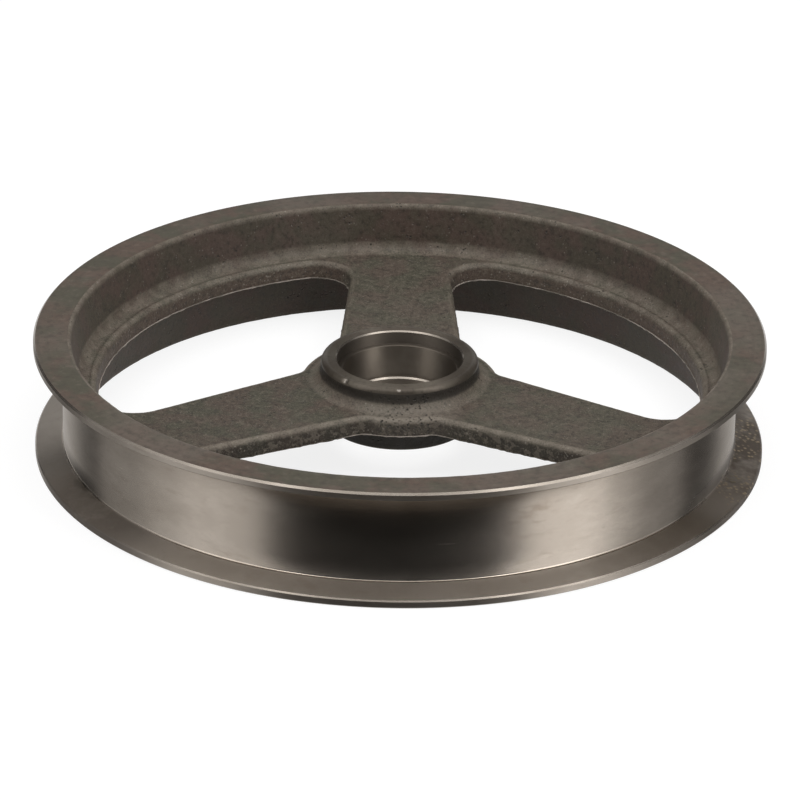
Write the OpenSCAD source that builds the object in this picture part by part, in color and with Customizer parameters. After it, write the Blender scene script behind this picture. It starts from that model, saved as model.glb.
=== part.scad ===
// Flanged idler pulley: one grey iron casting with three flat spokes, turned on its
// running face and flanges and bored in the hub to seat a ball bearing.
// The pulley lies flat: its axis is Z, the lower flange stands on Z = 0, one spoke points along +Y.

/* [Running face and flanges] */
// Diameter of the turned face that the belt runs on
face_d = 304.8; // [280:0.1:330]
// Overall width across both flanges
width = 54.4; // [50:0.1:62]
// Height of each flange above the running face
flange_h = 12.7; // [8:0.1:18]
// Thickness of each flange at its outer edge
flange_tip = 3.6; // [3:0.1:6]
// Slope of the flange faces towards the belt, in degrees
flange_slope = 13.2; // [5:0.1:20]
// Chamfer on the upper corner of the upper flange's edge
flange_chamfer = 0.9; // [0.5:0.1:1.5]
// Chamfer on the upper corner of the lower flange's edge
flank_chamfer = 0.6; // [0.3:0.1:1.2]
// Break on the lower corner of each flange edge
flange_break = 0.4; // [0.2:0.1:0.8]
// Tool radius left where a flange meets the running face
root_round = 0.9; // [0.4:0.1:2]

/* [Rim casting] */
// Wall between the running face and the rim's inner edge at both open ends
lip = 4; // [2.5:0.1:6]
// Draft of the rim's inner walls, in degrees
rim_draft = 10; // [6:0.1:12]
// Rounding of the rim's inner edges
lip_round = 0.8; // [0.4:0.1:1.6]
// Fillet between the rim's inner walls and the web
rim_fillet = 5; // [3:0.1:5.3]

/* [Web and spokes] */
// Number of spokes
spokes = 3; // [3:1:4]
// Height of the mould's parting plane, which is the underside of the web
web_z = 23.8; // [20:0.1:26]
// Thickness of the web and spokes
web_t = 7.9; // [6:0.1:10]
// Diameter of the bead that the windows leave inside the rim
bead_d = 273; // [260:0.1:273.4]
// Diameter of the web disc round the hub
disc_d = 90.8; // [90:0.1:100]
// Width of a spoke halfway between disc and bead
spoke_w = 51.3; // [44:0.1:58]
// Taper of each spoke side, in degrees
spoke_taper = 3.4; // [0:0.1:5]
// Corner radius of a window at the rim
rim_corner = 16; // [8:0.5:24]
// Corner radius of a window at the hub
hub_corner = 8; // [4:0.5:14]
// Draft of the window edges, in degrees
edge_draft = 5; // [2:0.5:8]
// Rounding of the window's upper edges
edge_round = 3; // [1.5:0.1:3.5]

/* [Hub] */
// Length of the hub
hub_len = 30.8; // [29:0.1:34]
// Height of the hub's lower end above the lower flange
hub_z = 11.4; // [9.5:0.1:14]
// Diameter of the hub's upper end
hub_d = 71; // [68:0.1:72]
// Diameter of the hub's lower end
boss_d = 67; // [62:0.1:72]
// Draft of the hub's outer sides, in degrees
hub_draft = 3; // [1:0.5:5]
// Fillet between the hub and the web
hub_fillet = 5.8; // [4:0.1:6.2]
// Rounding of the hub's upper edge
hub_round = 2.4; // [1:0.1:3]
// Rounding of the hub's lower edge
boss_round = 0.8; // [0.4:0.1:1.5]

/* [Bearing seat] */
// Diameter of the bearing seat
seat_d = 52; // [49.5:0.1:53]
// Length of the bearing seat
seat_len = 15; // [13:0.1:17]
// Diameter of the counterbore above the seat
counter_d = 57; // [54.5:0.1:60]
// Depth of the counterbore
counter_depth = 6.1; // [4:0.1:7.5]
// Diameter of the through hole below the shoulder
hole_d = 47.2; // [40:0.1:49]
// Chamfer at the mouth of the counterbore
mouth_chamfer = 0.6; // [0.5:0.1:1.5]
// Chamfer at the seat's entry
seat_chamfer = 0.3; // [0.2:0.1:0.8]
// Chamfer round both ends of the through hole
hole_chamfer = 0.7; // [0.3:0.1:0.8]

/* [Hidden] */
$fn = 120;
iron = "#6f675c";

// Radii and heights that follow from the sizes above
face_r = face_d / 2;
flange_r = face_r + flange_h;
lip_r = face_r - lip;
web_top = web_z + web_t;
hub_top = hub_z + hub_len;
slope_rise = (flange_h - flank_chamfer) * tan(flange_slope);
lower_root = flange_tip + slope_rise;
upper_root = width - flange_tip - slope_rise;
rim_top_r = lip_r - (width - web_top) * tan(rim_draft);
rim_low_r = lip_r - web_z * tan(rim_draft);
hub_foot_r = hub_d / 2 + (hub_top - web_top) * tan(hub_draft);
boss_foot_r = boss_d / 2 + (web_z - hub_z) * tan(hub_draft);
seat_r = seat_d / 2;
counter_r = counter_d / 2;
hole_r = hole_d / 2;
seat_top = hub_top - counter_depth;
shoulder_z = seat_top - seat_len;

// Corner points of the half section as [radius, height, rounding], counter-clockwise
flange_corners = [
    [lip_r, 0, lip_round],
    [flange_r - flange_break, 0, 0],
    [flange_r, flange_break, 0],
    [flange_r, flange_tip - flank_chamfer, 0],
    [flange_r - flank_chamfer, flange_tip, 0],
    [face_r, lower_root, root_round],
    [face_r, upper_root, root_round],
    [flange_r - flange_break, width - flange_tip, 0],
    [flange_r, width - flange_tip + flange_break, 0],
    [flange_r, width - flange_chamfer, 0],
    [flange_r - flange_chamfer, width, 0],
    [lip_r, width, lip_round],
];
hub_corners = [
    [rim_top_r, web_top, rim_fillet],
    [hub_foot_r, web_top, hub_fillet],
    [hub_d / 2, hub_top, hub_round],
    [counter_r + mouth_chamfer, hub_top, 0],
    [counter_r, hub_top - mouth_chamfer, 0],
    [counter_r, seat_top, 0],
    [seat_r + seat_chamfer, seat_top, 0],
    [seat_r, seat_top - seat_chamfer, 0],
    [seat_r, shoulder_z, 0],
    [hole_r + hole_chamfer, shoulder_z, 0],
    [hole_r, shoulder_z - hole_chamfer, 0],
    [hole_r, hub_z + hole_chamfer, 0],
    [hole_r + hole_chamfer, hub_z, 0],
    [boss_d / 2, hub_z, boss_round],
    [boss_foot_r, web_z, hub_fillet],
    [rim_low_r, web_z, rim_fillet],
];
section_corners = concat(flange_corners, hub_corners);

// Window outline: arcs about the axis and about the four corner centres
half_pitch = 180 / spokes;
side_angle = half_pitch + spoke_taper + 90;
bead_r = bead_d / 2;
disc_r = disc_d / 2;
spoke_mid = (bead_r + disc_r) / 2;
side_offset = -spoke_w / 2 * cos(spoke_taper) - spoke_mid * sin(spoke_taper);
rim_corner_r = bead_r - rim_corner;
hub_corner_r = disc_r + hub_corner;
rim_corner_at = side_angle - acos((side_offset - rim_corner) / rim_corner_r);
hub_corner_at = side_angle - acos((side_offset - hub_corner) / hub_corner_r);

// Edge profile of a window as [growth of the outline, height], from below the web to just above it
edge_steps = 6;
edge_end = 75;
edge_over = 0.1;
edge_centre = (web_t - edge_round) * tan(edge_draft) + edge_round / cos(edge_draft);
edge_turn = [for (i = [0 : edge_steps]) edge_draft + (edge_end - edge_draft) * i / edge_steps];
edge_arc = [for (a = edge_turn) [edge_centre - edge_round * cos(a), web_top - edge_round * (1 - sin(a))]];
edge_rise = edge_round * (1 - sin(edge_end)) + edge_over;
edge_last = [edge_arc[edge_steps][0] + edge_rise * tan(edge_end), web_top + edge_over];
edge_clear = [edge_last[0], web_top + hub_fillet / 4];
edge_levels = concat([[-web_t * tan(edge_draft), web_z - web_t]], edge_arc, [edge_last, edge_clear]);

function unit(v) = v / norm(v);
function corner(points, i) = let(n = len(points)) points[(i + n) % n];
function flat(p) = [p[0], p[1]];
function turn_at(points, i) = let(
    back = unit(flat(corner(points, i - 1)) - flat(points[i])),
    ahead = unit(flat(corner(points, i + 1)) - flat(points[i]))
) [back, ahead];
function cross_z(t) = t[0][1] * t[1][0] - t[0][0] * t[1][1];
function half_angle(t) = acos(t[0] * t[1]) / 2;
function tangents(points, i) = let(
    t = turn_at(points, i),
    reach = points[i][2] / tan(half_angle(t))
) [flat(points[i]) + t[0] * reach, flat(points[i]) + t[1] * reach];
function round_centre(points, i) = let(
    t = turn_at(points, i)
) flat(points[i]) + unit(t[0] + t[1]) * points[i][2] / sin(half_angle(t));

// Sliver between a corner's point and its rounding chord that lies inside the rounding circle
module round_sliver(points, i) {
    ends = tangents(points, i);
    intersection() {
        polygon([ends[0], flat(points[i]), ends[1]]);
        translate(round_centre(points, i)) circle(r = points[i][2]);
    }
}

// Outline through corner points [x, y, rounding], with true arcs at the rounded ones
module rounded_outline(points) {
    rounded = [for (i = [0 : len(points) - 1]) if (points[i][2] > 0) i];
    chords = [
        for (i = [0 : len(points) - 1])
            each points[i][2] > 0 ? tangents(points, i) : [flat(points[i])]
    ];
    difference() {
        union() {
            polygon(chords);
            for (i = rounded) if (cross_z(turn_at(points, i)) > 0) round_sliver(points, i);
        }
        for (i = rounded) if (cross_z(turn_at(points, i)) < 0) round_sliver(points, i);
    }
}

// Points on an arc of the window outline, grown by an offset along the arc's own normals
function polar(r, a) = [r * cos(a), r * sin(a)];
function arc(centre, r, from, to, steps, first, last) =
    [for (i = [first : last]) centre + polar(r, from + (to - from) * i / steps)];
function window_outline(grow) = let(
    rim_steps = 26,
    corner_steps = 8,
    disc_steps = 6,
    up_rim = polar(rim_corner_r, rim_corner_at),
    up_hub = polar(hub_corner_r, hub_corner_at),
    low_rim = polar(rim_corner_r, -rim_corner_at),
    low_hub = polar(hub_corner_r, -hub_corner_at),
    up_turn = 180 + hub_corner_at,
    low_turn = 180 - hub_corner_at
) concat(
    arc([0, 0], bead_r + grow, -rim_corner_at, rim_corner_at, rim_steps, 1, rim_steps - 1),
    arc(up_rim, rim_corner + grow, rim_corner_at, side_angle, corner_steps, 0, corner_steps),
    arc(up_hub, hub_corner + grow, side_angle, up_turn, corner_steps / 2, 0, corner_steps / 2),
    arc([0, 0], grow - disc_r, up_turn, low_turn, disc_steps, 1, disc_steps - 1),
    arc(low_hub, hub_corner + grow, low_turn, 360 - side_angle, corner_steps / 2, 0, corner_steps / 2),
    arc(low_rim, rim_corner + grow, -side_angle, -rim_corner_at, corner_steps, 0, corner_steps)
);

// Solid of one window: the outline lofted up the edge profile
module window() {
    rings = [for (level = edge_levels) [for (p = window_outline(level[0])) [p[0], p[1], level[1]]]];
    n = len(rings[0]);
    top = (len(rings) - 1) * n;
    sides = [
        for (k = [0 : len(rings) - 2], i = [0 : n - 1])
            let(a = k * n + i, b = k * n + (i + 1) % n) [a, a + n, b + n, b]
    ];
    caps = [[for (i = [0 : n - 1]) i], [for (i = [n - 1 : -1 : 0]) top + i]];
    polyhedron([for (ring = rings) each ring], concat(sides, caps));
}

// The casting: turned section swept round the axis, with a window between each two spokes
module pulley() {
    color(iron)
    difference() {
        rotate_extrude() rounded_outline(section_corners);
        for (i = [0 : spokes - 1]) rotate(90 + half_pitch * (2 * i + 1)) window();
    }
}

pulley();
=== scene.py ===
"""A flanged idler pulley in cast iron, lying on a pale floor in a small photo studio."""

import math

import bpy
import numpy as np
from mathutils import Matrix, Vector


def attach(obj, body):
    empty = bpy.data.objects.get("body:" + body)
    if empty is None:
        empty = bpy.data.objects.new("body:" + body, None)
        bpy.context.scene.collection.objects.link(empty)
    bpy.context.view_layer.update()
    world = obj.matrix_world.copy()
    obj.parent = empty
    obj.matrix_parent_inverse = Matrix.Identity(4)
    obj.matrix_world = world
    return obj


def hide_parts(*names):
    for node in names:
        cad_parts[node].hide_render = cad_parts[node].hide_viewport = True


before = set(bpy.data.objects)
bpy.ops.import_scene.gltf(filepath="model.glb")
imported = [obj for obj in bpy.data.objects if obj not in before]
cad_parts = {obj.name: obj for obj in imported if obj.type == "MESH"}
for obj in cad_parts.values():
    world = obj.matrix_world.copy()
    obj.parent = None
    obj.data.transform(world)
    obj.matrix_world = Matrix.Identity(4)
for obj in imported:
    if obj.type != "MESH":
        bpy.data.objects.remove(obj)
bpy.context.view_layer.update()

# Sizes of the part's source, in metres and radians
MM = 0.001
FACE_R = 152.4 * MM
WIDTH = 54.4 * MM
FLANGE_R = 165.1 * MM
FLANGE_TIP = 3.6 * MM
FLANGE_SLOPE = math.radians(13.2)
FLANGE_CHAMFER = 0.9 * MM
FLANK_CHAMFER = 0.6 * MM
FLANGE_BREAK = 0.4 * MM
ROOT_ROUND = 0.9 * MM
LIP_R = 148.4 * MM
LIP_ROUND = 0.8 * MM
RIM_DRAFT = math.radians(10)
RIM_FILLET = 5 * MM
SPOKES = 3
WEB_Z = 23.8 * MM
WEB_TOP = 31.7 * MM
BEAD_R = 136.5 * MM
DISC_R = 45.4 * MM
SPOKE_W = 51.3 * MM
SPOKE_TAPER = math.radians(3.4)
RIM_CORNER = 16 * MM
HUB_CORNER = 8 * MM
EDGE_DRAFT = math.radians(5)
EDGE_ROUND = 3 * MM
HUB_R = 35.5 * MM
BOSS_R = 33.5 * MM
HUB_Z = 11.4 * MM
HUB_TOP = 42.2 * MM
HUB_DRAFT = math.radians(3)
HUB_FILLET = 5.8 * MM
HUB_ROUND = 2.4 * MM
BOSS_ROUND = 0.8 * MM
SEAT_R = 26 * MM
SEAT_TOP = 36.1 * MM
SHOULDER_Z = 21.1 * MM
COUNTER_R = 28.5 * MM
HOLE_R = 23.6 * MM
MOUTH_CHAMFER = 0.6 * MM
SEAT_CHAMFER = 0.3 * MM
HOLE_CHAMFER = 0.7 * MM
# The rim's upper inner edge, worn rounder than in the source
LIP_WORN = 1.6 * MM

# Finishes, as the face attribute that picks a material
CAST, TURNED, EDGE, FLANK, ROOT, CHAMFER, FACED, BORED, HUB_FACE = range(9)

SAME_PLACE = 0.01 * MM
HALF_PITCH = math.pi / SPOKES
FIRST_WINDOW = math.radians(30)


class Term:
    """One node output that takes part in arithmetic; each operator adds a Math node."""

    def __init__(self, net, socket, node):
        self.net, self.socket, self.node = net, socket, node

    def out(self, name):
        found = [s for s in self.node.outputs if s.name == name and s.enabled]
        return Term(self.net, found[0], self.node)

    def math(self, operation, *others):
        return self.net.node("ShaderNodeMath", {"operation": operation}, [self, *others])

    def __add__(self, other):
        return self.math("ADD", other)

    def __sub__(self, other):
        return self.math("SUBTRACT", other)

    def __rsub__(self, other):
        return self.net.node("ShaderNodeMath", {"operation": "SUBTRACT"}, [other, self])

    def __mul__(self, other):
        return self.math("MULTIPLY", other)

    def __truediv__(self, other):
        return self.math("DIVIDE", other)

    def __pow__(self, other):
        return self.math("POWER", other)

    __radd__, __rmul__ = __add__, __mul__

    def smooth(self, low, high):
        """0 below low, 1 above high, eased between."""
        return self.net.node(
            "ShaderNodeMapRange",
            {"interpolation_type": "SMOOTHSTEP"},
            {"Value": self, "From Min": low, "From Max": high},
        )

    def larger(self, other):
        return self.math("MAXIMUM", other)


class Net:
    """One node tree; node() adds a node with its settings first and then its sockets."""

    def __init__(self, tree):
        self.tree = tree
        tree.nodes.clear()

    def node(self, kind, settings=None, sockets=None):
        made = self.tree.nodes.new(kind)
        for key, value in (settings or {}).items():
            setattr(made, key, value)
        pairs = enumerate(sockets) if isinstance(sockets, list) else (sockets or {}).items()
        for key, value in pairs:
            self.feed(made, key, value)
        shown = [s for s in made.outputs if s.enabled]
        return Term(self, shown[0] if shown else None, made)

    def feed(self, made, key, value):
        if isinstance(key, int):
            socket = made.inputs[key]
        else:
            socket = [s for s in made.inputs if s.name == key and s.enabled][0]
        if isinstance(value, Term):
            self.tree.links.new(value.socket, socket)
        else:
            socket.default_value = value

    def noise(self, at, scale, detail=2.0, roughness=0.5):
        return self.node(
            "ShaderNodeTexNoise",
            {"noise_dimensions": "3D"},
            {"Vector": at, "Scale": scale, "Detail": detail, "Roughness": roughness},
        )

    def lines(self, along, scale, detail=2.0):
        return self.node(
            "ShaderNodeTexNoise",
            {"noise_dimensions": "1D"},
            {"W": along, "Scale": scale, "Detail": detail},
        )

    def dots(self, at, scale, size):
        """Scattered soft dots, 1 at their middles; size is a share of their spacing."""
        far = self.node("ShaderNodeTexVoronoi", {"feature": "F1"}, {"Vector": at, "Scale": scale})
        return 1 - far.smooth(size * 0.35, size)

    def bump(self, strength, depth, height):
        return self.node(
            "ShaderNodeBump",
            sockets={"Strength": strength, "Distance": depth, "Height": height},
        )

    def mix(self, share, first, second):
        return self.node(
            "ShaderNodeMix",
            {"data_type": "RGBA"},
            {"Factor": share, "A": first, "B": second},
        )


def srgb(*levels):
    """Linear colour of 8-bit picture levels."""
    shares = [v / 255 for v in levels]
    return (*[s / 12.92 if s <= 0.04045 else ((s + 0.055) / 1.055) ** 2.4 for s in shares], 1.0)


def polar(r, angle):
    return r * math.cos(angle), r * math.sin(angle)


def polar_row(r, start, stop, steps):
    """Points on a circle about the axis, first one left out."""
    return [polar(r, start + (stop - start) * i / steps) for i in range(1, steps + 1)]


# Window outline: the same tangent arcs as the part's source
SIDE_ANGLE = HALF_PITCH + SPOKE_TAPER + math.pi / 2
SPOKE_MID = (BEAD_R + DISC_R) / 2
SIDE_OFFSET = -SPOKE_W / 2 * math.cos(SPOKE_TAPER) - SPOKE_MID * math.sin(SPOKE_TAPER)
RIM_CORNER_R = BEAD_R - RIM_CORNER
HUB_CORNER_R = DISC_R + HUB_CORNER
RIM_CORNER_AT = SIDE_ANGLE - math.acos((SIDE_OFFSET - RIM_CORNER) / RIM_CORNER_R)
HUB_CORNER_AT = SIDE_ANGLE - math.acos((SIDE_OFFSET - HUB_CORNER) / HUB_CORNER_R)

# How many faces each stretch of half a window's loop gets
ARC_STEPS = 56
RIM_FAN_STEPS = 26
SIDE_FAN_STEPS = 16
SIDE_STEPS = 36
HUB_SIDE_STEPS = 14
HUB_FAN_STEPS = 14
DISC_STEPS = 9
SIDE_SHARE = 0.8


def mirrored(half):
    """Closed loop from the half that runs from the rim to the hub."""
    half = np.array(half)
    other = half[-2:0:-1] * (1, -1)
    return np.concatenate([half, other])


def window_loop(grow):
    """Outline of a window about +X, grown along its own normals."""
    rim_centre = np.array(polar(RIM_CORNER_R, RIM_CORNER_AT))
    hub_centre = np.array(polar(HUB_CORNER_R, HUB_CORNER_AT))
    out = [polar(BEAD_R + grow, 0), *polar_row(BEAD_R + grow, 0, RIM_CORNER_AT, ARC_STEPS)]
    turn = RIM_FAN_STEPS + SIDE_FAN_STEPS
    out += [rim_centre + p for p in polar_row(RIM_CORNER + grow, RIM_CORNER_AT, SIDE_ANGLE, turn)]
    start = rim_centre + polar(RIM_CORNER + grow, SIDE_ANGLE)
    stop = hub_centre + polar(HUB_CORNER + grow, SIDE_ANGLE)
    split = start + (stop - start) * SIDE_SHARE
    out += [start + (split - start) * i / SIDE_STEPS for i in range(1, SIDE_STEPS + 1)]
    out += [split + (stop - split) * i / HUB_SIDE_STEPS for i in range(1, HUB_SIDE_STEPS + 1)]
    hub_turn = polar_row(HUB_CORNER + grow, SIDE_ANGLE, math.pi + HUB_CORNER_AT, HUB_FAN_STEPS)
    out += [hub_centre + p for p in hub_turn]
    out += polar_row(DISC_R - grow, HUB_CORNER_AT, 0, DISC_STEPS)
    return mirrored(out)


def cell_loop(rim_r, hub_r):
    """Outline of the share of the web that belongs to a window: rim, spoke middle, hub."""
    spoke = np.array(polar(1, HALF_PITCH))
    side_end = RIM_CORNER_R * math.cos(HALF_PITCH - RIM_CORNER_AT)
    out = [polar(rim_r, 0), *polar_row(rim_r, 0, RIM_CORNER_AT, ARC_STEPS)]
    out += polar_row(rim_r, RIM_CORNER_AT, HALF_PITCH, RIM_FAN_STEPS)
    for start, stop, steps in ((rim_r, side_end, SIDE_FAN_STEPS), (side_end, hub_r, SIDE_STEPS)):
        out += [spoke * (start + (stop - start) * i / steps) for i in range(1, steps + 1)]
    out += polar_row(hub_r, HALF_PITCH, HUB_CORNER_AT, HUB_SIDE_STEPS + HUB_FAN_STEPS)
    out += polar_row(hub_r, HUB_CORNER_AT, 0, DISC_STEPS)
    return mirrored(out)


def both_ways(angles):
    return np.array([-a for a in reversed(angles[1:])] + angles)


def even(start, stop, steps):
    return [start + (stop - start) * i / steps for i in range(1, steps + 1)]


RIM_STATIONS = both_ways(
    [0.0, *even(0, RIM_CORNER_AT, ARC_STEPS), *even(RIM_CORNER_AT, HALF_PITCH, RIM_FAN_STEPS)]
)
HUB_STATIONS = both_ways(
    [0.0, *even(0, HUB_CORNER_AT, DISC_STEPS)]
    + even(HUB_CORNER_AT, HALF_PITCH, HUB_SIDE_STEPS + HUB_FAN_STEPS)
)


class Section:
    """Half section of the pulley: points [r, z] in order, with the finish after each."""

    def __init__(self):
        self.points, self.finish, self.wear_and_sheen = [], [], []

    def add(self, point, finish, wear_and_sheen=0.0):
        if self.points and np.linalg.norm(self.points[-1] - point) < SAME_PLACE:
            self.finish[-1] = finish
            return
        self.points.append(np.array(point, float))
        self.finish.append(finish)
        self.wear_and_sheen.append(wear_and_sheen)

    def run(self, corners):
        """Corners as (r, z, rounding, finish of the stretch behind it, its rows, edge wear and
        painted highlight).
        """
        for i, (r, z, rounding, finish, rows, wear_and_sheen) in enumerate(corners):
            here = np.array((r, z))
            if rounding:
                arc = self.rounded(corners[i - 1], corners[i], corners[i + 1])
            else:
                arc = [here]
            if i:
                before = corners[i - 1]
                self.fill(arc[0], before[3], before[4])
            corner_finish = self.corner_finish(corners[i - 1][3], finish) if i else finish
            for p in arc:
                self.add(p, corner_finish, wear_and_sheen)
            self.finish[-1] = finish
        return self

    @staticmethod
    def corner_finish(before, after):
        """Roundings: faced at the hub's end, cast by the rim, cut by the tool's nose at a root."""
        if HUB_FACE in (before, after):
            return HUB_FACE
        if CAST in (before, after):
            return CAST
        return ROOT if FLANK in (before, after) else after

    def fill(self, stop, finish, rows):
        start = self.points[-1]
        for k in range(1, rows):
            self.add(start + (stop - start) * k / rows, finish)

    @staticmethod
    def rounded(before, corner, after):
        at, radius = np.array(corner[:2]), corner[2]
        steps = 6 if radius > 2 * MM else 3
        back = np.array(before[:2]) - at
        ahead = np.array(after[:2]) - at
        back, ahead = back / np.linalg.norm(back), ahead / np.linalg.norm(ahead)
        half = math.acos(np.clip(back @ ahead, -1, 1)) / 2
        middle = (back + ahead) / np.linalg.norm(back + ahead)
        centre = at + middle * radius / math.sin(half)
        first = at + back * radius / math.tan(half) - centre
        final = at + ahead * radius / math.tan(half) - centre
        sweep = math.pi - 2 * half
        out = []
        for k in range(steps + 1):
            a, b = math.sin(sweep * (1 - k / steps)), math.sin(sweep * k / steps)
            out.append(centre + (first * a + final * b) / math.sin(sweep))
        return out


SLOPE_RISE = (FLANGE_R - FLANK_CHAMFER - FACE_R) * math.tan(FLANGE_SLOPE)
LOWER_ROOT = FLANGE_TIP + SLOPE_RISE
UPPER_ROOT = WIDTH - LOWER_ROOT
RIM_TOP_R = LIP_R - (WIDTH - WEB_TOP) * math.tan(RIM_DRAFT)
RIM_LOW_R = LIP_R - WEB_Z * math.tan(RIM_DRAFT)
HUB_FOOT_R = HUB_R + (HUB_TOP - WEB_TOP) * math.tan(HUB_DRAFT)
BOSS_FOOT_R = BOSS_R + (WEB_Z - HUB_Z) * math.tan(HUB_DRAFT)
FILLET_REACH = RIM_FILLET * math.tan(math.pi / 4 - RIM_DRAFT / 2)
FOOT_REACH = HUB_FILLET * math.tan(math.pi / 4 - HUB_DRAFT / 2)
RIM_TOP_START, RIM_LOW_START = RIM_TOP_R - FILLET_REACH, RIM_LOW_R - FILLET_REACH
HUB_TOP_START, HUB_LOW_START = HUB_FOOT_R + FOOT_REACH, BOSS_FOOT_R + FOOT_REACH

rim_section = Section().run(
    [
        (RIM_LOW_START, WEB_Z, 0, CAST, 1, 0),
        (RIM_LOW_R, WEB_Z, RIM_FILLET, CAST, 12, 0),
        (LIP_R, 0, LIP_ROUND, FACED, 5, 0.5),
        (FLANGE_R - FLANGE_BREAK, 0, 0, CHAMFER, 1, 1),
        (FLANGE_R, FLANGE_BREAK, 0, EDGE, 2, 1),
        (FLANGE_R, FLANGE_TIP - FLANK_CHAMFER, 0, CHAMFER, 1, 1),
        (FLANGE_R - FLANK_CHAMFER, FLANGE_TIP, 0, FLANK, 4, 1),
        (FACE_R, LOWER_ROOT, ROOT_ROUND, TURNED, 6, 0),
        (FACE_R, UPPER_ROOT, ROOT_ROUND, FLANK, 4, 0),
        (FLANGE_R - FLANGE_BREAK, WIDTH - FLANGE_TIP, 0, CHAMFER, 1, 1),
        (FLANGE_R, WIDTH - FLANGE_TIP + FLANGE_BREAK, 0, EDGE, 2, 1),
        (FLANGE_R, WIDTH - FLANGE_CHAMFER, 0, CHAMFER, 1, 1),
        (FLANGE_R - FLANGE_CHAMFER, WIDTH, 0, FACED, 6, 1),
        (LIP_R, WIDTH, LIP_WORN, CAST, 12, 0.9),
        (RIM_TOP_R, WEB_TOP, RIM_FILLET, CAST, 1, 0.8),
        (RIM_TOP_START, WEB_TOP, 0, CAST, 1, 0),
    ]
)
hub_section = Section().run(
    [
        (HUB_TOP_START, WEB_TOP, 0, CAST, 1, 0),
        (HUB_FOOT_R, WEB_TOP, HUB_FILLET, CAST, 3, 0.5),
        (HUB_R, HUB_TOP, HUB_ROUND, HUB_FACE, 5, 1),
        (COUNTER_R + MOUTH_CHAMFER, HUB_TOP, 0, CHAMFER, 1, 0),
        (COUNTER_R, HUB_TOP - MOUTH_CHAMFER, 0, BORED, 2, 0),
        (COUNTER_R, SEAT_TOP, 0, BORED, 1, 0),
        (SEAT_R + SEAT_CHAMFER, SEAT_TOP, 0, BORED, 1, 0),
        (SEAT_R, SEAT_TOP - SEAT_CHAMFER, 0, BORED, 4, 0),
        (SEAT_R, SHOULDER_Z, 0, BORED, 1, 0),
        (HOLE_R + HOLE_CHAMFER, SHOULDER_Z, 0, CHAMFER, 1, 0),
        (HOLE_R, SHOULDER_Z - HOLE_CHAMFER, 0, BORED, 3, 0),
        (HOLE_R, HUB_Z + HOLE_CHAMFER, 0, CHAMFER, 1, 0),
        (HOLE_R + HOLE_CHAMFER, HUB_Z, 0, HUB_FACE, 3, 0),
        (BOSS_R, HUB_Z, BOSS_ROUND, CAST, 5, 0.5),
        (BOSS_FOOT_R, WEB_Z, HUB_FILLET, CAST, 1, 0),
        (HUB_LOW_START, WEB_Z, 0, CAST, 1, 0),
    ]
)


class Patches:
    """Quad grids gathered into one mesh, with a finish for each face and marks for each point."""

    def __init__(self):
        self.points, self.faces, self.finish = [], [], []
        self.marks = {"cast": [], "wear_and_sheen": [], "flash": [], "side": []}

    def grid(self, rows, finish, closed, marks):
        """rows[i][j] are points; finish[i] is that of the faces between rows i and i + 1."""
        rows = np.array(rows)
        high, wide = rows.shape[:2]
        first = sum(len(p) for p in self.points)
        self.points.append(rows.reshape(-1, 3))
        for name, values in self.marks.items():
            values.extend(np.repeat(marks.get(name, np.zeros(high)), wide))
        for i in range(high - 1):
            for j in range(wide if closed else wide - 1):
                a, b = first + i * wide + j, first + i * wide + (j + 1) % wide
                self.faces.append((a, b, b + wide, a + wide))
                self.finish.append(finish[i])

    def mesh(self, name):
        made = bpy.data.meshes.new(name)
        made.from_pydata(np.concatenate(self.points).tolist(), [], self.faces)
        kind = made.attributes.new("finish", "INT", "FACE")
        kind.data.foreach_set("value", self.finish)
        for mark, values in self.marks.items():
            kept = made.attributes.new(mark, "FLOAT", "POINT")
            kept.data.foreach_set("value", np.array(values, np.float32))
        return made


def cast_weight(section):
    """1 on rows that only cast faces touch, 0 on machined rows, so machining stays true."""
    after = np.array([f == CAST for f in section.finish])
    before = np.concatenate([[True], after[:-1]])
    return (after & before).astype(float)


def sweep(patches, section, stations):
    rows = [[(*polar(r, a), z) for a in stations] for r, z in section.points]
    marks = {"cast": cast_weight(section), "wear_and_sheen": np.array(section.wear_and_sheen)}
    patches.grid(rows, section.finish, False, marks)


def flat_loop(loop, z):
    return np.column_stack([loop, np.full(len(loop), z)])


FLASH_OUT = 0.25 * MM
FLASH_HIGH = 0.3 * MM
WEB_T = WEB_TOP - WEB_Z
EDGE_CENTRE = (WEB_T - EDGE_ROUND) * math.tan(EDGE_DRAFT) + EDGE_ROUND / math.cos(EDGE_DRAFT)


def edge_levels():
    """Window wall from the underside up: parting flash, drafted side, rounded edge.
    Each level is (growth of the outline, height, flash, wear and painted highlight, side)."""
    levels = [
        (0.4 * MM, WEB_Z, 0, 0, 0),
        (0.1 * MM, WEB_Z - FLASH_HIGH / 3, 0.6, 0, 0),
        (-FLASH_OUT, WEB_Z, 1, 0, 0),
        (-FLASH_OUT, WEB_Z + FLASH_HIGH / 2, 1, 0, 0),
        (0.1 * MM, WEB_Z + FLASH_HIGH, 0.2, 0, 1),
    ]
    side_top = WEB_TOP - EDGE_ROUND * (1 - math.sin(EDGE_DRAFT))
    for z in np.linspace(WEB_Z + 2 * FLASH_HIGH, side_top, 5)[:-1]:
        levels.append(((z - WEB_Z) * math.tan(EDGE_DRAFT), z, 0, 0, 1))
    for a in np.linspace(EDGE_DRAFT, math.pi / 2, 7):
        grow = EDGE_CENTRE - EDGE_ROUND * math.cos(a)
        z = WEB_TOP - EDGE_ROUND * (1 - math.sin(a))
        turned_up = math.degrees(a)
        # Roundings tilted 38 to 72 degrees up are lightened, partly for wear and partly as a
        # painted highlight
        worn_and_lit = float(np.interp(turned_up, (12, 38, 72, 90), (0, 1, 1, 0)))
        levels.append((grow, z, 0, worn_and_lit, float(np.interp(turned_up, (5, 34), (1, 0)))))
    return levels


TOP_ROWS = 13
LOW_ROWS = 7


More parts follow.
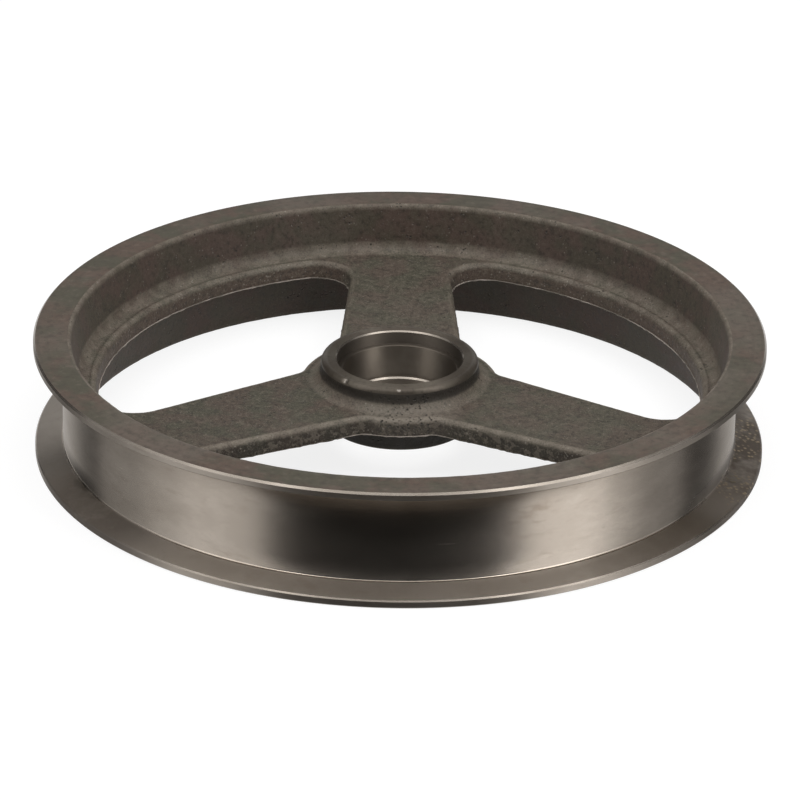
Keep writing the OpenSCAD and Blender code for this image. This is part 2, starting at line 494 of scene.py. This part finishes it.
def sector_mesh():
    """One window with its share of rim, web and hub, about +X."""
    patches = Patches()
    sweep(patches, rim_section, RIM_STATIONS)
    sweep(patches, hub_section, HUB_STATIONS)
    levels = edge_levels()
    walls = [flat_loop(window_loop(level[0]), level[1])[::-1] for level in levels]
    marks = {
        "cast": np.ones(len(levels)),
        "flash": np.array([v[2] for v in levels]),
        "wear_and_sheen": np.array([v[3] for v in levels]),
        "side": np.array([v[4] for v in levels]),
    }
    patches.grid(walls, [CAST] * len(levels), True, marks)
    top_cell = flat_loop(cell_loop(RIM_TOP_START, HUB_TOP_START), WEB_TOP)
    low_cell = flat_loop(cell_loop(RIM_LOW_START, HUB_LOW_START), WEB_Z)
    for edge, cell, rows in (
        (walls[-1], top_cell[::-1], TOP_ROWS),
        (walls[0][::-1], low_cell, LOW_ROWS),
    ):
        grid = [edge + (cell - edge) * i / rows for i in range(rows + 1)]
        patches.grid(grid, [CAST] * rows, True, {"cast": np.ones(rows + 1)})
    return patches.mesh("sector")


def casting_tree(finishes):
    """Sector repeated round the axis, joined, roughened where it is cast, with its finishes."""
    tree = bpy.data.node_groups.new("casting", "GeometryNodeTree")
    net = Net(tree)
    face = tree.interface
    face.new_socket(name="Sector", in_out="INPUT", socket_type="NodeSocketGeometry")
    face.new_socket(name="Spokes", in_out="INPUT", socket_type="NodeSocketInt")
    for name in ("First window", "Sand height", "Sand grain", "Flash"):
        face.new_socket(name=name, in_out="INPUT", socket_type="NodeSocketFloat")
    face.new_socket(name="Seed", in_out="INPUT", socket_type="NodeSocketInt")
    face.new_socket(name="Casting", in_out="OUTPUT", socket_type="NodeSocketGeometry")
    given = net.node("NodeGroupInput")

    turn = net.node("GeometryNodeInputIndex") * (2 * math.pi) / given.out("Spokes")
    euler = net.node("ShaderNodeCombineXYZ", sockets={"Z": turn + given.out("First window")})
    points = net.node("GeometryNodePoints", sockets={"Count": given.out("Spokes")})
    placed = net.node(
        "GeometryNodeInstanceOnPoints",
        sockets={
            "Points": points,
            "Instance": given.out("Sector"),
            "Rotation": net.node("FunctionNodeEulerToRotation", sockets={"Euler": euler}),
        },
    )
    whole = net.node("GeometryNodeRealizeInstances", sockets={"Geometry": placed})
    whole = net.node(
        "GeometryNodeMergeByDistance", sockets={"Geometry": whole, "Distance": SAME_PLACE}
    )

    def mark(name):
        return net.node("GeometryNodeInputNamedAttribute", {"data_type": "FLOAT"}, {"Name": name})

    place = net.node("GeometryNodeInputPosition")
    normal = net.node("GeometryNodeInputNormal")
    shift = net.node("ShaderNodeCombineXYZ", sockets={"X": given.out("Seed")})
    sand_place = net.node("ShaderNodeVectorMath", {"operation": "ADD"}, [place, shift])
    sand = net.noise(sand_place, given.out("Sand grain"), 3.0, 0.6) - 0.5
    ragged = net.noise(sand_place, given.out("Sand grain") * 1.6, 2.0).smooth(0.42, 0.68)
    height = sand * given.out("Sand height") * mark("cast")
    height = height + ragged * given.out("Flash") * mark("flash")
    for spot, radius, depth in NICKS:
        reach = distance(net, place, spot)
        height = height - (1 - reach.smooth(radius * 0.3, radius)) * depth
    offset = net.node(
        "ShaderNodeVectorMath", {"operation": "SCALE"}, {"Vector": normal, "Scale": height}
    )
    whole = net.node("GeometryNodeSetPosition", sockets={"Geometry": whole, "Offset": offset})
    kind = net.node("GeometryNodeInputNamedAttribute", {"data_type": "INT"}, {"Name": "finish"})
    for number, material in enumerate(finishes):
        chosen = net.node(
            "FunctionNodeCompare",
            {"data_type": "INT", "operation": "EQUAL"},
            {"A": kind, "B": number},
        )
        whole = net.node(
            "GeometryNodeSetMaterial",
            sockets={"Geometry": whole, "Selection": chosen, "Material": material},
        )
    net.node("NodeGroupOutput", sockets={"Casting": whole})
    return tree


# Knocks on the hub's edge that show bare metal: place, radius, depth
NICKS = [
    ((-0.0242, -0.0250, 0.0414), 1.5 * MM, 0.6 * MM),
    ((-0.0002, -0.0345, 0.0416), 1.2 * MM, 0.3 * MM),
]
# Middle of the spongy patch in front of the hub, and of the painted highlight around it
SPONGY = (0.004, -0.038, 0.0345)


def finish_material(name, metallic, anisotropic=0.0, specular=0.5):
    """New material with a principled shader: (material, net, object place, shader node)."""
    material = bpy.data.materials.new(name)
    material.use_nodes = True
    net = Net(material.node_tree)
    shader = net.node(
        "ShaderNodeBsdfPrincipled",
        sockets={
            "Metallic": metallic,
            "Anisotropic": anisotropic,
            "Anisotropic Rotation": 0.25,
            "Specular IOR Level": specular,
        },
    )
    net.node("ShaderNodeOutputMaterial", sockets={"Surface": shader})
    place = net.node("ShaderNodeTexCoord").out("Object")
    return material, net, place, shader.node


def distance(net, place, spot):
    return net.node("ShaderNodeVectorMath", {"operation": "DISTANCE"}, [place, spot]).out("Value")


def mark_of(net, name):
    return net.node("ShaderNodeAttribute", {"attribute_name": name}).out("Fac")


def cast_skin():
    """Sand-cast skin: brown to olive grey, grainy, with pits, dark rough sides, edges lightened by
    wear and a painted highlight, a painted highlight in front of the hub and painted shade on the
    hub's side.
    """
    material, net, place, shader = finish_material("cast_skin", 0.0, specular=0.35)
    rise, radius = section_place(net, place)
    wear_and_sheen, flash, side = [mark_of(net, name) for name in ("wear_and_sheen", "flash", "side")]
    along_y = net.node("ShaderNodeSeparateXYZ", sockets={"Vector": place}).out("Y")
    tint = net.noise(place, 60, 4.0, 0.6)
    cloud = net.noise(place, 17, 3.0, 0.55)
    grit = net.noise(place, 430, 4.0, 0.65)
    grain = net.noise(place, 1300, 2.0, 0.6)
    spots = net.noise(place, 150, 2.0)
    from_spongy = distance(net, place, SPONGY)
    above_web = rise.smooth(WEB_Z, WEB_Z + 3 * MM)
    spongy = (1 - from_spongy.smooth(6 * MM, 22 * MM)) * above_web
    # Painted highlight, with glossier skin, on the web and fillet in front of the hub
    front_gloss_and_highlight = 1 - from_spongy.smooth(12 * MM, 28 * MM)
    pits = net.dots(place, 560, 0.36) * (spots + spongy * 0.16).smooth(0.58, 0.68)
    salty = spots + front_gloss_and_highlight * 0.08 + side * 0.1 + wear_and_sheen * 0.05
    salt = net.dots(place, 560, 0.32) * salty.smooth(0.54, 0.64)
    rim = radius.smooth(118 * MM, 130 * MM)
    flakes = net.noise(place, 330, 3.0, 0.6).smooth(0.52, 0.6) * side * (1 - rim)
    # The spoke along +Y, at the back, gets less of the edges' wear and painted highlight than the
    # other two
    wear_and_sheen = wear_and_sheen * (1 - along_y.smooth(40 * MM, 60 * MM) * (1 - rim) * 0.75)

    spoke = net.mix(tint.smooth(0.4, 0.6), srgb(72, 69, 57), srgb(79, 68, 59))
    wall = net.mix(tint.smooth(0.4, 0.6), srgb(69, 62, 51), srgb(77, 63, 55))
    on_wall = radius.smooth(BEAD_R + 5 * MM, BEAD_R + 8 * MM)
    fine = 1 - on_wall * 0.6
    colour = net.mix(on_wall, spoke, wall)
    colour = net.mix(cloud.smooth(0.45, 0.7) * 0.35, colour, srgb(92, 85, 74))
    colour = net.mix(front_gloss_and_highlight * 0.6, colour, srgb(118, 110, 100))
    colour = net.mix(side * rim * 0.7, colour, srgb(84, 69, 59))
    colour = net.mix(side * (1 - rim) * 0.55, colour, srgb(40, 34, 28))
    colour = net.mix(grit.smooth(0.5, 0.34) * 0.6, colour, srgb(42, 37, 31))
    colour = net.mix(grit.smooth(0.53, 0.66) * fine * 0.4, colour, srgb(110, 102, 90))
    # Edges lightened: partly wear, partly a painted highlight on roundings that tilt up towards the
    # front
    uneven = grain.smooth(0.3, 0.6) * 0.25 + spots.smooth(0.36, 0.62) * 0.35 + (0.35 - rim * 0.2)
    colour = net.mix(wear_and_sheen * uneven, colour, srgb(124, 115, 103))
    colour = net.mix(grain.smooth(0.55, 0.7) * fine * 0.3, colour, srgb(130, 122, 110))
    colour = net.mix(grain.smooth(0.45, 0.3) * fine * 0.35, colour, srgb(36, 32, 27))
    colour = net.mix(flakes * 0.5, colour, srgb(124, 115, 103))
    colour = net.mix(salt * 0.6, colour, srgb(150, 142, 130))
    colour = net.mix(pits * 0.85, colour, srgb(24, 20, 17))
    # Painted shade: cast skin inside the hub's foot is darkened, on the hub's side under its
    # rounded edge and on the boss below the web
    hub_side_shade = radius.smooth(HUB_FOOT_R + 0.5 * MM, HUB_FOOT_R - 0.2 * MM)
    colour = net.mix(hub_side_shade * 0.85, colour, srgb(38, 34, 29))
    ends = radius.smooth(112 * MM, 126 * MM).larger(radius.smooth(60 * MM, 50 * MM))
    bare = flash * (ends * 0.75 + 0.05) * (tint.smooth(0.38, 0.6) * 0.7 + 0.3)
    colour = net.mix(bare, colour, srgb(196, 185, 175))
    net.feed(shader, "Base Color", colour)
    net.feed(shader, "Roughness", grit * 0.3 - front_gloss_and_highlight * 0.08 + 0.48)
    height = (grit * 0.7 + grain * 0.3) * fine - pits * 0.8
    net.feed(shader, "Normal", net.bump(0.9, 0.8 * MM, height))
    return material


def section_place(net, place):
    """Height and radius of a point of the section."""
    parts = net.node("ShaderNodeSeparateXYZ", sockets={"Vector": place})
    x, y = parts.out("X"), parts.out("Y")
    return parts.out("Z"), (x * x + y * y) ** 0.5


def axial_run(net, place):
    """Length along the section: height plus radius, so turning lines cross every turned face."""
    rise, radius = section_place(net, place)
    return rise + radius


# Middles of a handled spot on the running face, and of a rusty and a grimy stretch
# of the lower flange
THUMBED = (0.058, -0.1405, 0.033)
RUSTY = (0.1572, -0.018, 0.005)
GRIMY = (-0.132, -0.086, 0.005)
RUST_DEPTH = 0.04 * MM
# Feed marks: depth, and how far the long flank of each faces up
TOOL_DEPTH = 0.004 * MM
FEED_LEAN = math.radians(32)
ROOT_LEAN = math.radians(20)
BORE_LEAN = math.radians(20)


def stretched(net, place, factor):
    """Place with its height stretched, so that patches lie along the turning."""
    return net.node("ShaderNodeVectorMath", {"operation": "MULTIPLY"}, [place, (1, 1, factor)])


def turned(name, metallic, anisotropic, roughness, tone=1.0, lean=0.0):
    """Finely turned iron: dark, semi-gloss, with tool lines, handling smudges and some rust."""
    material, net, place, shader = finish_material(name, metallic, anisotropic)
    rise, radius = section_place(net, place)
    tool = net.lines(rise + radius, 2600, 2.0)
    smudge = net.noise(stretched(net, place, 2.0), 24, 5.0, 0.65)
    rubbed = net.noise(stretched(net, place, 4.0), 70, 4.0, 0.6)
    grit = net.noise(place, 500, 3.0, 0.6)
    thumbed = 1 - distance(net, place, THUMBED).smooth(3 * MM, 17 * MM)
    rusty = 1 - distance(net, place, RUSTY).smooth(24 * MM, 80 * MM)
    rusty = rusty * rise.smooth(15 * MM, 7 * MM)
    grimy = 1 - distance(net, place, GRIMY).smooth(18 * MM, 62 * MM)
    grimy = grimy * rise.smooth(7.5 * MM, 6 * MM)
    film = rusty.larger(grimy * 0.8) * smudge.smooth(0.3, 0.5)
    flecks = net.dots(place, 440, 0.46) * (rubbed + rusty * 0.2).smooth(0.63, 0.73) * rusty
    dull, clean, stain = [
        srgb(*[v * tone for v in c]) for c in ((133, 125, 116), (143, 135, 126), (112, 101, 90))
    ]
    colour = net.mix(smudge.smooth(0.38, 0.66), dull, clean)
    colour = net.mix(rubbed.smooth(0.55, 0.72) * 0.25, colour, stain)
    colour = net.mix(thumbed * smudge.smooth(0.42, 0.56) * 0.7, colour, stain)
    colour = net.mix(grit.smooth(0.64, 0.76) * 0.25, colour, stain)
    colour = net.mix(film * 0.9, colour, srgb(58, 47, 37))
    colour = net.mix(flecks * 0.85, colour, srgb(156, 140, 114))
    net.feed(shader, "Base Color", colour)
    net.feed(shader, "Metallic", (1 - film * 0.9) * metallic)
    uneven = tool * 0.03 + smudge * 0.05 + rubbed * 0.03 + film * 0.25
    net.feed(shader, "Roughness", uneven + (roughness - 0.055))
    feed = tool * TOOL_DEPTH + flecks * RUST_DEPTH - rise * math.tan(lean)
    net.feed(shader, "Normal", net.bump(1.0, 1.0, feed))
    return material


def faced_ring():
    """Faced iron gone dull: brown to olive grey, smooth, mottled, with faint turning rings."""
    material, net, place, shader = finish_material("faced_ring", 0.0, specular=0.4)
    along = axial_run(net, place)
    tool = net.lines(along, 1500, 2.0)
    rings = net.lines(along, 420, 3.0)
    tint = net.noise(place, 38, 5.0, 0.65)
    cloud = net.noise(place, 14, 3.0, 0.55)
    grit = net.noise(place, 280, 4.0, 0.65)
    specks = net.noise(place, 700, 2.0, 0.6)
    colour = net.mix(tint.smooth(0.42, 0.58), srgb(73, 69, 56), srgb(86, 71, 61))
    colour = net.mix(cloud.smooth(0.44, 0.62) * 0.6, colour, srgb(96, 87, 78))
    colour = net.mix(grit.smooth(0.5, 0.34) * 0.45, colour, srgb(54, 47, 40))
    colour = net.mix(grit.smooth(0.54, 0.68) * 0.35, colour, srgb(108, 99, 88))
    colour = net.mix(rings.smooth(0.5, 0.66) * 0.2, colour, srgb(66, 58, 50))
    colour = net.mix(specks.smooth(0.58, 0.72) * 0.45, colour, srgb(56, 48, 41))
    net.feed(shader, "Base Color", colour)
    net.feed(shader, "Roughness", tint * 0.2 + 0.42)
    net.feed(shader, "Normal", net.bump(0.3, 0.08 * MM, tool * 0.5 + specks * 0.5))
    return material


def bored_seat():
    """Bored bearing seat: bright, with fine tool lines."""
    material, net, place, shader = finish_material("bored_seat", 0.8, 0.85)
    rise, radius = section_place(net, place)
    tool = net.lines(rise + radius, 2600, 2.0)
    smudge = net.noise(place, 60, 3.0, 0.6)
    colour = net.mix(smudge.smooth(0.4, 0.65), srgb(98, 90, 81), srgb(106, 98, 88))
    mouth = rise.smooth(SEAT_TOP - 0.1 * MM, SEAT_TOP + 0.1 * MM)
    colour = net.mix(mouth * 0.5, colour, srgb(74, 68, 61))
    net.feed(shader, "Base Color", colour)
    net.feed(shader, "Roughness", tool * 0.08 + smudge * 0.1 + mouth * 0.15 + 0.3)
    feed = tool * TOOL_DEPTH - rise * math.tan(BORE_LEAN)
    net.feed(shader, "Normal", net.bump(1.0, 1.0, feed))
    return material


def hub_face():
    """Faced end of the hub: dark, with round tool marks that catch the light towards the viewer."""
    material, net, place, shader = finish_material("hub_face", 0.6, 0.9)
    tool = net.lines(axial_run(net, place), 1800, 2.0)
    patches = net.noise(place, 90, 4.0, 0.6)
    wear_and_sheen = mark_of(net, "wear_and_sheen")
    grit = net.noise(place, 600, 3.0, 0.6)
    colour = net.mix(patches.smooth(0.4, 0.62), srgb(88, 80, 71), srgb(96, 89, 79))
    colour = net.mix(grit.smooth(0.52, 0.68) * 0.4, colour, srgb(60, 54, 47))
    for spot, reach, _ in NICKS:
        bare = distance(net, place, spot).smooth(reach, reach * 0.5)
        colour = net.mix(bare * grit.smooth(0.4, 0.55), colour, srgb(156, 149, 140))
    net.feed(shader, "Base Color", colour)
    net.feed(shader, "Roughness", patches * 0.14 - wear_and_sheen * 0.22 + 0.55)
    net.feed(shader, "Normal", net.bump(0.4, 0.06 * MM, tool * 0.5 + grit * 0.5))
    return material


SAND_HEIGHT = 0.3 * MM
SAND_GRAIN = 240.0
FLASH_RAGGED = 0.35 * MM
SAND_SEED = 7
# Edges that turn further than this stay crisp
CRISP_EDGE = math.radians(30.5)


def pulley():
    """The whole casting as one plain mesh at the origin."""
    finishes = [
        cast_skin(),
        turned("turned_face", 1.0, 0.0, 0.255, lean=FEED_LEAN),
        turned("turned_edge", 0.85, 0.0, 0.3, tone=0.92, lean=FEED_LEAN),
        turned("turned_flank", 1.0, 0.9, 0.38, tone=1.2),
        turned("turned_root", 1.0, 0.0, 0.17, tone=1.25, lean=ROOT_LEAN),
        turned("turned_chamfer", 0.8, 0.2, 0.21, tone=1.0),
        faced_ring(),
        bored_seat(),
        hub_face(),
    ]
    source = bpy.data.objects.new("sector", sector_mesh())
    bpy.context.scene.collection.objects.link(source)
    tree = casting_tree(finishes)
    maker = source.modifiers.new("casting", "NODES")
    maker.node_group = tree
    sizes = {
        "Spokes": SPOKES,
        "First window": FIRST_WINDOW,
        "Sand height": SAND_HEIGHT,
        "Sand grain": SAND_GRAIN,
        "Flash": FLASH_RAGGED,
        "Seed": SAND_SEED,
    }
    for socket in tree.interface.items_tree:
        if socket.in_out == "INPUT" and socket.name in sizes:
            maker[socket.identifier] = sizes[socket.name]
    evaluated = source.evaluated_get(bpy.context.evaluated_depsgraph_get())
    mesh = bpy.data.meshes.new_from_object(evaluated)
    mesh.shade_smooth()
    mesh.set_sharp_from_angle(angle=CRISP_EDGE)
    piece = bpy.data.objects.new("pulley_casting", mesh)
    bpy.context.scene.collection.objects.link(piece)
    bpy.data.objects.remove(source)
    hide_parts("pulley")
    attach(piece, "root")
    return piece


# Camera, from the outlines of both flanges in the photograph
LENS = 222.43
SENSOR = 36.0
STAND = Vector((0.0, -2.0309, 0.9724))
PITCH = math.radians(25.109)
YAW = math.radians(0.010)
ROLL = math.radians(0.721)


def camera():
    forward = Vector(
        (math.sin(YAW) * math.cos(PITCH), math.cos(YAW) * math.cos(PITCH), -math.sin(PITCH))
    )
    level = Vector((math.cos(YAW), -math.sin(YAW), 0))
    above = level.cross(forward)
    right = level * math.cos(ROLL) + above * math.sin(ROLL)
    up = above * math.cos(ROLL) - level * math.sin(ROLL)
    data = bpy.data.cameras.new("camera")
    data.lens, data.sensor_width = LENS, SENSOR
    made = bpy.data.objects.new("camera", data)
    turn = Matrix((right, up, -forward)).transposed().to_4x4()
    made.matrix_world = Matrix.Translation(STAND) @ turn
    bpy.context.scene.collection.objects.link(made)
    bpy.context.scene.camera = made


def softbox(name, azimuth, elevation, away_by, width, height, brightness):
    """Area lamp facing the pulley; azimuth 0 is the camera's side, 90 is +X."""
    a, e = math.radians(azimuth), math.radians(elevation)
    away = Vector((math.sin(a) * math.cos(e), -math.cos(a) * math.cos(e), math.sin(e)))
    lamp = bpy.data.lights.new(name, "AREA")
    lamp.shape, lamp.size, lamp.size_y = "RECTANGLE", width, height
    lamp.energy = brightness * math.pi * width * height
    made = bpy.data.objects.new(name, lamp)
    made.location = LAMP_AIM + away * away_by
    made.rotation_mode = "QUATERNION"
    made.rotation_quaternion = away.to_track_quat("Z", "Y")
    made.visible_camera = False
    bpy.context.scene.collection.objects.link(made)


FLOOR_SIZE = 14.0
FLOOR_DROP = 0.2 * MM
FLOOR_PAINT = 0.22
FLOOR_GLOW = 0.84
SKY_DARK = 0.02
HORIZON = 0.12

# Softboxes: name, azimuth, elevation, distance, width, height, brightness
SOFTBOXES = [
    ("top", 180, 82, 1.6, 2.0, 2.0, 1.3),
    ("front_top", 0, 65, 1.6, 1.6, 0.5, 2.0),
    ("right_box", 56, 34, 1.4, 0.62, 1.5, 2.6),
    ("right_next", 75, 34, 1.4, 0.3, 1.5, 1.2),
    ("right_wing", 92, 34, 1.4, 0.5, 1.5, 0.55),
    ("left_box", -58.5, 34, 1.4, 0.62, 1.5, 1.6),
    ("left_next", -80, 34, 1.4, 0.42, 1.5, 1.05),
    ("left_wing", -100, 34, 1.4, 0.5, 1.5, 0.6),
    ("back_box", 180, 14, 2.0, 2.4, 0.8, 0.6),
]
LAMP_AIM = Vector((0, 0, 0.03))


def studio():
    half = FLOOR_SIZE / 2
    mesh = bpy.data.meshes.new("floor")
    corners = [(-half, -half), (half, -half), (half, half), (-half, half)]
    mesh.from_pydata([(x, y, -FLOOR_DROP) for x, y in corners], [], [(0, 1, 2, 3)])
    floor = bpy.data.objects.new("floor", mesh)
    bpy.context.scene.collection.objects.link(floor)
    material = bpy.data.materials.new("pale_floor")
    material.use_nodes = True
    net = Net(material.node_tree)
    ray = net.node("ShaderNodeLightPath")
    seen = ray.out("Is Camera Ray").larger(ray.out("Is Glossy Ray"))
    seen = seen.larger(ray.out("Is Transmission Ray"))
    paint = net.node("ShaderNodeBsdfDiffuse", sockets={"Color": (FLOOR_PAINT,) * 3 + (1,)})
    glow = net.node("ShaderNodeEmission", sockets={"Strength": seen * FLOOR_GLOW})
    both = net.node("ShaderNodeAddShader", sockets=[paint, glow])
    net.node("ShaderNodeOutputMaterial", sockets={"Surface": both})
    mesh.materials.append(material)

    world = bpy.data.worlds.new("studio")
    bpy.context.scene.world = world
    world.use_nodes = True
    net = Net(world.node_tree)
    way = net.node("ShaderNodeTexCoord").out("Generated")
    up = net.node("ShaderNodeSeparateXYZ", sockets={"Vector": way}).out("Z")
    colour = net.mix(up.smooth(0.0, HORIZON), (1, 1, 1, 1), (SKY_DARK,) * 3 + (1,))
    sky = net.node("ShaderNodeBackground", sockets={"Color": colour, "Strength": 1.0})
    net.node("ShaderNodeOutputWorld", sockets={"Surface": sky})

    for row in SOFTBOXES:
        softbox(*row)


camera()
studio()
pulley()
bpy.context.scene.view_settings.view_transform = "Standard"
